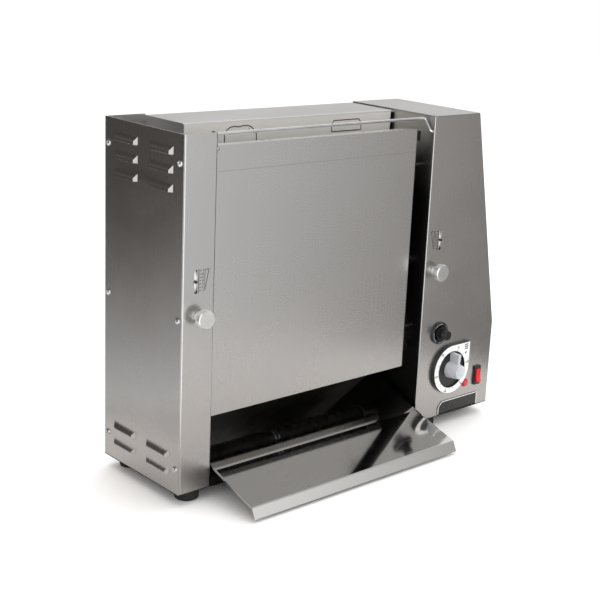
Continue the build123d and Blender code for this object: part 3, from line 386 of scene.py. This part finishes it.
def stroke(points, width):
    """Outline of a line of that width, with mitred corners."""
    legs = [(Vector(b) - Vector(a)).normalized() for a, b in zip(points, points[1:])]
    left, right = [], []
    for i, point in enumerate(points):
        here = Vector(point)
        ways = legs[max(i - 1, 0):i + 1]
        way = sum(ways, Vector((0, 0))).normalized()
        across = Vector((-way.y, way.x)) * width / 2 / max(0.5, way.dot(ways[0]))
        left.append(tuple(here + across))
        right.append(tuple(here - across))
    return left + right[::-1]


def around(centre, radius, degrees):
    """Point at an angle about a centre, clockwise from straight up."""
    angle = math.radians(degrees)
    return centre[0] + radius * math.sin(angle), centre[1] + radius * math.cos(angle)


def arc(centre, radius, start, end, steps):
    return [around(centre, radius, start + (end - start) * i / steps) for i in range(steps + 1)]


def ring(centre, outer, inner, start, end, steps):
    """Outline of a part of a ring."""
    return arc(centre, outer, start, end, steps) + arc(centre, inner, end, start, steps)


def disc(centre, radius, steps):
    return arc(centre, radius, 0, 360 - 360 / steps, steps - 1)


def on_front(y):
    """Place for marks on a face that looks to the front at that depth; u, v are millimetres."""
    return lambda u, v, h: Vector((u * MM, y - h, v * MM))


def marks(name, outlines, y, body, slot, material, depth=0.12 * MM):
    """Flat shapes, in millimetres, laid on a front face at depth y."""
    place = on_front(y)
    mesh = mesh_of(name, *gather([prism(outline, place, depth) for outline in outlines]))
    work = bmesh.new()
    work.from_mesh(mesh)
    bmesh.ops.recalc_face_normals(work, faces=work.faces)
    work.to_mesh(mesh)
    work.free()
    return piece(name, mesh, body, slot, material)


BARS_OF = {
    "0": "abcdef", "1": "bc", "2": "abged", "3": "abgcd", "4": "fgbc",
    "5": "afgcd", "6": "afgedc", "7": "abc", "8": "abcdefg", "9": "abcdfg",
}


def number(text, centre, height):
    """Outlines of plain numerals of seven bars each, centred on a point."""
    w, h = height * 0.5, height
    bars = {
        "a": ((0, h), (w, h)), "b": ((w, h), (w, h / 2)), "c": ((w, h / 2), (w, 0)),
        "d": ((0, 0), (w, 0)), "e": ((0, 0), (0, h / 2)), "f": ((0, h / 2), (0, h)),
        "g": ((0, h / 2), (w, h / 2)),
    }
    step, line = height * 0.78, height * 0.16
    start = centre[0] - (step * len(text) - step + w) / 2
    bottom = centre[1] - h / 2
    shapes = []
    for i, digit in enumerate(text):
        for key in BARS_OF[digit]:
            points = [(start + i * step + u, bottom + v) for u, v in bars[key]]
            shapes.append(stroke(points, line))
    return shapes


# ---- sheet metal and mouldings with broken edges ---------------------------------------------
EDGE_WIDTHS = {
    "left_side_cover": 0.3, "left_front_column": 0.3, "control_panel": 0.45,
    "right_side_cover": 0.35, "right_top_cover": 0.45, "top_deck": 0.35, "front_cover": 0.35,
    "rear_panel": 0.4, "landing_tray": 0.4, "right_inner_wall": 0.3, "left_top_plate": 0.3,
    "platen": 0.3, "thermostat_dial": 0.6, "rocker_frame": 0.5, "rocker": 0.4,
    "name_plate": 0.3, "tray_runners": 0.25,
}
PANEL_FOLD = 1.1
for node, width in EDGE_WIDTHS.items():
    softened(node, width, roll=PANEL_FOLD if node == "control_panel" else 0.0)


# ---- screws ----------------------------------------------------------------------------------
HEAD_RADIUS, HEAD_HEIGHT = 4.2 * MM, 2.2 * MM
RECESS_HALF_WIDTH, RECESS_REACH, RECESS_DEPTH = 0.55 * MM, 2.4 * MM, 0.9 * MM
PANEL_LEAN = math.atan2(67.0, 327.0)


def loose_parts(node):
    """Low corner, high corner and points of each of a node's separate solids."""
    work = bmesh.new()
    work.from_mesh(NODES[node].data)
    bmesh.ops.remove_doubles(work, verts=work.verts, dist=1e-6)
    seen, boxes = set(), []
    for seed in work.verts:
        if seed in seen:
            continue
        group, todo = [], [seed]
        seen.add(seed)
        while todo:
            vertex = todo.pop()
            group.append(vertex.co.copy())
            for edge in vertex.link_edges:
                other = edge.other_vert(vertex)
                if other not in seen:
                    seen.add(other)
                    todo.append(other)
        boxes.append((
            Vector([min(p[i] for p in group) for i in range(3)]),
            Vector([max(p[i] for p in group) for i in range(3)]),
            group,
        ))
    work.free()
    return boxes


def screw_mesh(centre, outward, turn):
    """Pan head with a cross recess, seen from outside; centre is on the face under the head."""
    rings, sides = 7, 32
    side = outward.orthogonal().normalized()
    other = outward.cross(side)
    vertices, faces = [], []
    for ring_index in range(rings + 1):
        lift = ring_index / rings * math.pi / 2
        radius = HEAD_RADIUS * math.cos(lift) if ring_index else HEAD_RADIUS
        for k in range(sides):
            angle = math.tau * k / sides
            from_arms = [abs(radius * math.sin(angle)), abs(radius * math.cos(angle))]
            rise = HEAD_HEIGHT * (0.25 + 0.75 * math.sin(lift)) if ring_index else 0.0
            if ring_index and min(from_arms) < RECESS_HALF_WIDTH and max(from_arms) < RECESS_REACH:
                rise -= RECESS_DEPTH
            rim = side * math.cos(angle + turn) + other * math.sin(angle + turn)
            vertices.append(centre + radius * rim + outward * rise)
    for ring_index in range(rings):
        for k in range(sides):
            a, b = ring_index * sides + k, ring_index * sides + (k + 1) % sides
            faces.append((a, b, b + sides, a + sides))
    return vertices, faces


def screw_seat(low, high, points):
    """Where a screw's head sits and which way it looks: back, left, or right and leaning."""
    middle = (low + high) / 2
    if high.y - low.y < 6 * MM:
        return Vector((middle.x, high.y - HEAD_HEIGHT, middle.z)), Vector((0, 1, 0))
    if middle.x < 0:
        return Vector((low.x + HEAD_HEIGHT, middle.y, middle.z)), Vector((-1, 0, 0))
    upright = sum(p.x > high.x - 0.1 * MM for p in points) > 12
    lean = 0.0 if upright else PANEL_LEAN
    outward = Vector((math.cos(lean), 0, math.sin(lean)))
    furthest = max(p.dot(outward) for p in points)
    head = [p for p in points if p.dot(outward) > furthest - 0.05 * MM]
    return sum(head, Vector()) / len(head) - outward * HEAD_HEIGHT, outward


screw_parts = []
for index, solid in enumerate(loose_parts("cover_screws")):
    seat, outward = screw_seat(*solid)
    screw_parts.append(screw_mesh(seat, outward, 0.4 + 1.3 * index))
screws_mesh = mesh_of("cross_screws", *gather(screw_parts))
smooth(screws_mesh, 40.0)
screws = piece("cross_screws", screws_mesh, "housing", "steel_bright")
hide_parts("cover_screws")


# ---- wire belts ------------------------------------------------------------------------------
WIRE_RADIUS, WIRE_LIFT, BELT_CORE, BELT_MARGIN = 0.7 * MM, 0.55 * MM, 1.5 * MM, 1.2 * MM
STRANDS, TEETH = 72, 9


def belt(side):
    """Endless belt of zigzag wires across its width, each hooked into the next."""
    low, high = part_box(side + "_conveyor_belt")
    mid_y = (low.y + high.y) / 2
    outer = (high.y - low.y) / 2
    radius = outer - BELT_CORE
    straight = (high.z - low.z) - 2 * outer
    bottom, length = low.z + outer, 2 * straight + math.tau * radius
    pitch = length / STRANDS

    def at(x, s, lift):
        """Point at a distance along the loop: up the front, over the top, down the back."""
        s %= length
        r = radius + lift
        if s < straight:
            return Vector((x, mid_y - r, bottom + s))
        s -= straight
        if s < math.pi * radius:
            angle = s / radius
            return Vector((x, mid_y - r * math.cos(angle), bottom + straight + r * math.sin(angle)))
        s -= math.pi * radius
        if s < straight:
            return Vector((x, mid_y + r, bottom + straight - s))
        angle = (s - straight) / radius
        return Vector((x, mid_y + r * math.cos(angle), bottom - r * math.sin(angle)))

    step = (high.x - low.x - 2 * BELT_MARGIN) / (2 * TEETH)
    strands = []
    for i in range(STRANDS):
        points = []
        for j in range(2 * TEETH):
            x = low.x + BELT_MARGIN + j * step
            forward = 1.0 if j % 2 else 0.0
            reach = i * pitch + forward * pitch * 1.08
            lift = WIRE_LIFT if forward else -WIRE_LIFT
            points.append(at(x + 0.12 * step, reach, lift))
            points.append(at(x + 0.88 * step, reach, lift))
        strands.append(tube(points, WIRE_RADIUS, 6))
    mesh = mesh_of(side + "_wire_belt", *gather(strands))
    mesh.shade_smooth()
    made = piece(side + "_wire_belt", mesh, side + "_conveyor", "belt_wire")
    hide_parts(side + "_conveyor_belt")


belt("left")
belt("right")


# ---- hopper band -----------------------------------------------------------------------------
SYMBOL_LINE = 1.5
band_depth = 0.1 * MM
deck_low, deck_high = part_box("top_deck")
band_left, band_right = deck_low.x / MM + 0.5, deck_high.x / MM - 5.0
band_bottom, band_top = deck_low.z / MM + 0.5, deck_high.z / MM - 2.6
band_sheet = [
    (band_left, band_bottom), (band_right, band_bottom), (band_right, band_top),
    (band_left, band_top),
]
# painted light: the band gets a partly matt copy of the deck steel, so it looks as bright as the
# lit rim
LIT_BAND_STEEL = brushed("band_painted_light", (0.66, 0.64, 0.61), 0.5, "X")
put(LIT_BAND_STEEL.node_tree.nodes["Principled BSDF"], Metallic=0.3)
marks("band_face", [band_sheet], deck_low.y, "housing", "stainless_top", LIT_BAND_STEEL, band_depth)
crown = [
    (-171, 442), (-171, 456.5), (-167.5, 462), (-162, 465.4), (-155, 466.2), (-148, 465.2),
    (-141, 466.4), (-133, 466.4), (-126.5, 463.6), (-121.5, 459), (-118.5, 454), (-118, 442),
    (-171, 442),
]
seed_places = [(-131, 461.5), (-127.8, 459.8), (-133.4, 459.6), (-129.8, 457.6), (-125.6, 457.8)]
seeds = [disc(place, 0.8, 10) for place in seed_places]
heel = [(15, 449), (15, 459), (19, 464.5), (66, 464.5), (71, 459), (71, 449), (15, 449)]
for name, shapes in {
    "crown_symbol": [stroke(crown, SYMBOL_LINE)] + seeds,
    "heel_symbol": [stroke(heel, SYMBOL_LINE)],
}.items():
    marks(name, shapes, deck_low.y - band_depth, "housing", "pointer_black", PRINT_BROWN)


# ---- thickness scales and their slots --------------------------------------------------------
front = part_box("control_panel")[0].y


def scale(side, hand):
    """Scale beside a pointer's slot: edge line, seven ticks and numerals, and a wedge."""
    pointer_low, pointer_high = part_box(side + "_pointer")
    slot_x = (pointer_low.x + pointer_high.x) / 2 / MM
    low, high = 280.0, 310.0

    def beside(distance, z):
        return slot_x + hand * distance, z

    shapes = [stroke([beside(4.3, low), beside(4.3, high)], 0.8)]
    for i in range(7):
        z = low + 2.5 + 4.2 * i
        shapes.append(stroke([beside(5.4, z), beside(8.2, z)], 0.7))
        shapes += number(str(i + 1), beside(10.6, z), 2.5)
    wedge = [beside(13.4, low + 2.0), beside(19.6, high - 1.5), beside(13.4, high - 1.5)]
    shapes.append(stroke(wedge + wedge[:2], 0.7))
    marks(side + "_scale", shapes, front, "housing", "pointer_black", PRINT)


def slot_shield(side):
    """Light curved strip behind the scale's slot; it moves with the pointer."""
    low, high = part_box(side + "_pointer")
    pivot_y, pivot_z = JOINTS[side + "_pointer_swing"]["pos_m"][1:]
    centre_x = (low.x + high.x) / 2
    inner, half_width = 36.0 * MM, 3.2 * MM
    outer = inner + 0.4 * MM
    corners = [(-half_width, inner), (half_width, inner), (half_width, outer), (-half_width, outer)]
    sections, first, step = 25, -42.0, 3.5
    vertices = [
        Vector((centre_x + x, pivot_y - r * math.cos(angle), pivot_z + r * math.sin(angle)))
        for angle in (math.radians(first + step * i) for i in range(sections))
        for x, r in corners
    ]
    last = 4 * (sections - 1)
    faces = [(3, 2, 1, 0), (last, last + 1, last + 2, last + 3)]
    faces += [
        (4 * i + k, 4 * i + (k + 1) % 4, 4 * i + 4 + (k + 1) % 4, 4 * i + 4 + k)
        for i in range(sections - 1) for k in range(4)
    ]
    name = side + "_slot_shield"
    piece(name, mesh_of(name, vertices, faces), side + "_pointer", "dial_face", PRINT_WHITE)


for side, hand in (("left", 1.0), ("right", -1.0)):
    scale(side, hand)
for side in ("left", "right"):
    slot_shield(side)

# ---- painted shade in the right inner wall's slot and along the cover's fold line ------------
# painted shade: a thin black strip stands for the dark inside of the slot in the right inner wall
wall_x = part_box("right_inner_wall")[0].x
slot_shade_y = front / MM + 30.0
slot_shade = prism(
    stroke([(slot_shade_y, 437.0), (slot_shade_y, 451.0)], 6.0),
    lambda u, v, h: Vector((wall_x - h, u * MM, v * MM)), 0.4 * MM,
)
piece("wall_slot_shade", mesh_of("wall_slot_shade", *slot_shade), "housing", "control_black")

# painted shade: a thin line of darker steel along the cover's fold stands for the shade in the
# crease
cover_low, cover_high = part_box("front_cover")
fold_shade_line = stroke([(cover_low.x / MM + 5.0, 425.0), (cover_high.x / MM - 5.0, 425.0)], 0.7)
marks(
    "cover_fold_shade", [fold_shade_line], cover_low.y, "cover", "stainless_panel", MATERIALS["conveyor_steel"]
)

# ---- thermostat dial -------------------------------------------------------------------------
dial_low, dial_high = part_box("thermostat_dial")
dial_radius = (dial_high.x - dial_low.x) / 2 / MM
dial_centre = (dial_low.x / MM + dial_radius, dial_low.z / MM + dial_radius)
dial_x, dial_z = dial_centre
hub, face_depth = 28.5, 0.2 * MM
edge = dial_radius - 0.8
round_part = ring(dial_centre, edge, hub + 0.4, 90, 360, 72)
square_part = [(dial_x + edge, dial_z + edge), (dial_x, dial_z + edge)]
square_part += arc(dial_centre, hub + 0.4, 0, 90, 24) + [(dial_x + edge, dial_z)]
marks(
    "dial_plate_face", [round_part, square_part], dial_low.y, "housing", "dial_face",
    PRINT_WHITE, face_depth,
)


def dial_tick(angle, length, width):
    start = hub + 1.2
    ends = [around(dial_centre, radius, angle) for radius in (start, start + length)]
    return stroke(ends, width)


first_angle = 20.0
dial_print = []
for i in range(11):
    angle = first_angle + 30.0 * i
    dial_print.append(dial_tick(angle, 2.4, 0.9))
    if i % 2 == 0:
        dial_print += number(str(50 + 25 * i), around(dial_centre, hub + 6.4, angle), 2.6)
dial_print += [dial_tick(first_angle + 15.0 * i, 1.2, 0.5) for i in range(21)]
note_x, note_z = dial_x + 30.0, dial_z + 31.5
for row in (-3.2, 0.0, 3.2):
    dial_print.append(stroke([(note_x - 4, note_z + row), (note_x + 4, note_z + row)], 1.7))
dial_print.append([
    (note_x - 3.0, note_z - 9.0), (note_x + 1.6, note_z - 8.0), (note_x - 0.4, note_z - 12.5),
])
marks(
    "dial_print", dial_print, dial_low.y - face_depth, "housing", "pointer_black",
    PRINT, 0.1 * MM,
)

# ---- speed dial's scale and the blank badge --------------------------------------------------
bezel_low, bezel_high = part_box("speed_bezel")
bezel_centre = ((bezel_low.x + bezel_high.x) / 2 / MM, (bezel_low.z + bezel_high.z) / 2 / MM)
bezel_print = [
    ring(bezel_centre, 14.6, 14.0, start, start + 64, 20) for start in (-50, 40, 130, 220)
]
bezel_print += [ring(bezel_centre, 15.6, 13.6, start, start + 3, 2) for start in (-140, 0, 140)]
marks("speed_scale", bezel_print, bezel_low.y, "housing", "control_black", PRINT_GREY)

badge_low, badge_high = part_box("name_plate")
inset, chamfer = 1, 7.5
x0, x1 = badge_low.x / MM + inset, badge_high.x / MM - inset
z0, z1 = badge_low.z / MM + inset, badge_high.z / MM - inset
border = [(x0, z0), (x1, z0), (x1, z1), (x0 + chamfer, z1), (x0, z1 - chamfer), (x0, z0), (x1, z0)]
marks(
    "badge_border", [stroke(border, 1.1)], badge_low.y, "housing", "badge", PRINT_WHITE,
    0.2 * MM,
)

# ---- stage -----------------------------------------------------------------------------------
def paper(name, dark, light):
    """Matt floor material, clouded between two colours."""
    mat, tree, shader = new_material(name)
    tree.links.new(
        ramp(tree, noise(tree, (1, 1, 1), 3.0), (0.3, dark), (0.7, light)),
        shader.inputs["Base Color"],
    )
    put(shader, Roughness=0.9)
    return mat


def ground(name, radius, z, mat):
    """Round stage floor."""
    sides = 96
    angles = [math.tau * k / sides for k in range(sides)]
    rim = [(radius * math.cos(angle), radius * math.sin(angle), z) for angle in angles]
    mesh = mesh_of(name, rim, [tuple(range(sides))])
    mesh.materials.append(mat)
    obj = bpy.data.objects.new(name, mesh)
    bpy.context.scene.collection.objects.link(obj)
    return obj


# The camera and the shadows see the floor; the steel reflects the darker one near the feet.
floor = ground("floor", 30.0, -0.0006, paper("stage_paper", (0.9, 0.9, 0.9), (0.92, 0.92, 0.915)))
floor.visible_glossy = False
table = paper("stage_table", (0.50, 0.485, 0.47), (0.54, 0.525, 0.51))
floor_near = ground("floor_near", 0.5, -0.0002, table)
floor_near.visible_camera = floor_near.visible_diffuse = floor_near.visible_shadow = False

# ---- surroundings, as the steel reflects them ------------------------------------------------
world = bpy.data.worlds.new("studio")
bpy.context.scene.world = world
world.use_nodes = True
tree = world.node_tree
background = tree.nodes["Background"]
coords = tree.nodes.new("ShaderNodeTexCoord")
parts = tree.nodes.new("ShaderNodeSeparateXYZ")
tree.links.new(coords.outputs["Generated"], parts.inputs["Vector"])


def band_of(axis, low, high, start, end):
    """Brightness that goes from low to high as the direction's axis goes from start to end."""
    node = tree.nodes.new("ShaderNodeMapRange")
    node.interpolation_type = "SMOOTHSTEP"
    put(node, From_Min=start, From_Max=end, To_Min=low, To_Max=high)
    tree.links.new(parts.outputs[axis], node.inputs["Value"])
    return node.outputs["Result"]


def lobe(direction, start, end):
    """Brightness that rises from 0 to 1 around a direction."""
    towards = tree.nodes.new("ShaderNodeVectorMath")
    towards.operation = "DOT_PRODUCT"
    towards.inputs[1].default_value = direction
    tree.links.new(coords.outputs["Generated"], towards.inputs[0])
    return spread(tree, towards.outputs["Value"], 0.0, 1.0, start, end)


facing = join(
    tree, "ADD",
    band_of("Y", 0.8, 0.0, -0.84, -0.585),
    band_of("Y", 0.13, 0.07, -0.6, 0.5),
)
above = join(
    tree, "MULTIPLY",
    band_of("Z", 0.0, 1.1, 0.04, 0.4),
    band_of("Y", 0.4, 1.0, -0.5, 0.5),
)
above = join(tree, "MULTIPLY", above, band_of("X", 0.08, 1.0, -0.3, 0.4))
above = join(tree, "ADD", above, lobe((-0.66, -0.73, 0.19), 0.62, 0.9))
below = join(
    tree, "MULTIPLY",
    band_of("Z", 1.15, 0.0, -0.45, -0.24),
    band_of("X", 1.0, 0.0, -0.3, 0.4),
)
level = join(tree, "ADD", facing, join(tree, "ADD", above, below))

# The camera sees an even backdrop, tinted where the surroundings are dim, and matt surfaces
# get an even fill.
rays = tree.nodes.new("ShaderNodeLightPath")
shown = tree.nodes.new("ShaderNodeMix")
shown.data_type = "FLOAT"
tree.links.new(rays.outputs["Is Camera Ray"], shown.inputs["Factor"])
fill = join(tree, "MULTIPLY", rays.outputs["Is Diffuse Ray"], 0.6)
tree.links.new(join(tree, "ADD", level, fill), shown.inputs["A"])
shown.inputs["B"].default_value = 1.0
tree.links.new(shown.outputs["Result"], background.inputs["Strength"])
warmth = ramp(
    tree, level,
    (0.05, (1.0, 0.89, 0.83)), (0.5, (1.0, 0.985, 0.97)), (0.9, (1.0, 1.0, 1.0)),
)
tree.links.new(warmth, background.inputs["Color"])

# ---- overhead light --------------------------------------------------------------------------
light_data = bpy.data.lights.new("overhead", "AREA")
light_data.shape = "RECTANGLE"
light_data.size, light_data.size_y = 3.4, 3.4
light_data.energy, light_data.color = 50, (1, 1, 1)
overhead = bpy.data.objects.new("overhead", light_data)
bpy.context.scene.collection.objects.link(overhead)
overhead.location = (0.2, 0.3, 2.8)
overhead.rotation_euler = (-Vector(overhead.location)).to_track_quat("-Z", "Y").to_euler()
overhead.visible_glossy = False

# ---- camera, as fitted to the photograph -----------------------------------------------------
CAMERA_PLACE = (-1.13604, -1.22154, 0.69467)
YAW, PITCH, ROLL = (math.radians(degrees) for degrees in (43.43735, 15.01762, 3.04495))
camera_data = bpy.data.cameras.new("photo_view")
camera_data.sensor_width = 36.0
camera_data.lens = 73.26
camera_data.shift_x, camera_data.shift_y = -0.0744, -0.0372
camera_data.clip_end = 60.0
camera = bpy.data.objects.new("photo_view", camera_data)
bpy.context.scene.collection.objects.link(camera)
ahead = Vector((
    math.sin(YAW) * math.cos(PITCH), math.cos(YAW) * math.cos(PITCH), -math.sin(PITCH),
))
right = Vector((math.cos(YAW), -math.sin(YAW), 0))
up = right.cross(ahead)
rolled_right = math.cos(ROLL) * right + math.sin(ROLL) * up
rolled_up = -math.sin(ROLL) * right + math.cos(ROLL) * up
turn = Matrix((rolled_right, rolled_up, -ahead)).transposed()
camera.matrix_world = Matrix.Translation(CAMERA_PLACE) @ turn.to_4x4()
bpy.context.scene.camera = camera
bpy.context.scene.view_settings.view_transform = "Standard"
